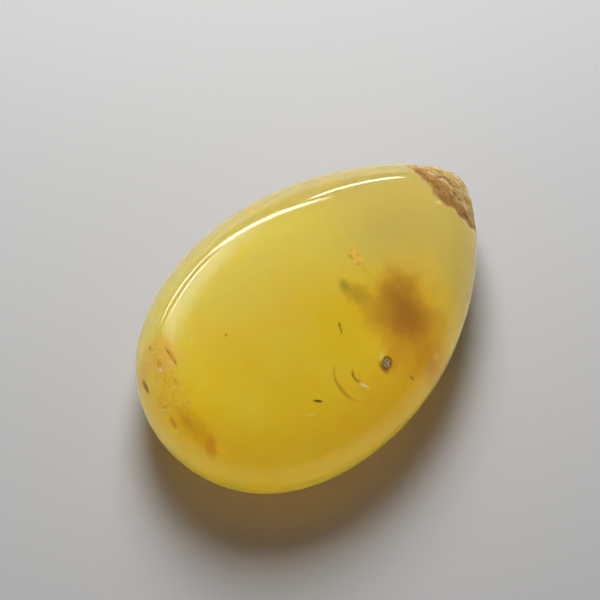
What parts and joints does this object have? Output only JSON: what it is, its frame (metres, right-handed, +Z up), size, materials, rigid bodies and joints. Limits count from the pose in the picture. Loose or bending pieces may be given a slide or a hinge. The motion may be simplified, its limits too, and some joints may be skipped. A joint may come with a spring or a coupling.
{
  "type": "teardrop amber stone",
  "caption": "Polished teardrop cabochon of milky yellow amber with a rounded edge, flat underside and a rough natural skin left on its tip.",
  "frame": {"origin": "on the flat underside, below the middle of the stone's length and width", "axes": "+X along the stone from the blunt end to the tip, +Y across it, +Z up out of the top face"},
  "size_m": [0.032, 0.0218, 0.0097],
  "materials": {
    "milky_amber": "hand-polished gloss on milky translucent yellow fossil resin, with a rough tan skin across the tip"
  },
  "bodies": {
    "root": {"amber_stone": "milky_amber"}
  },
  "joints": []
}
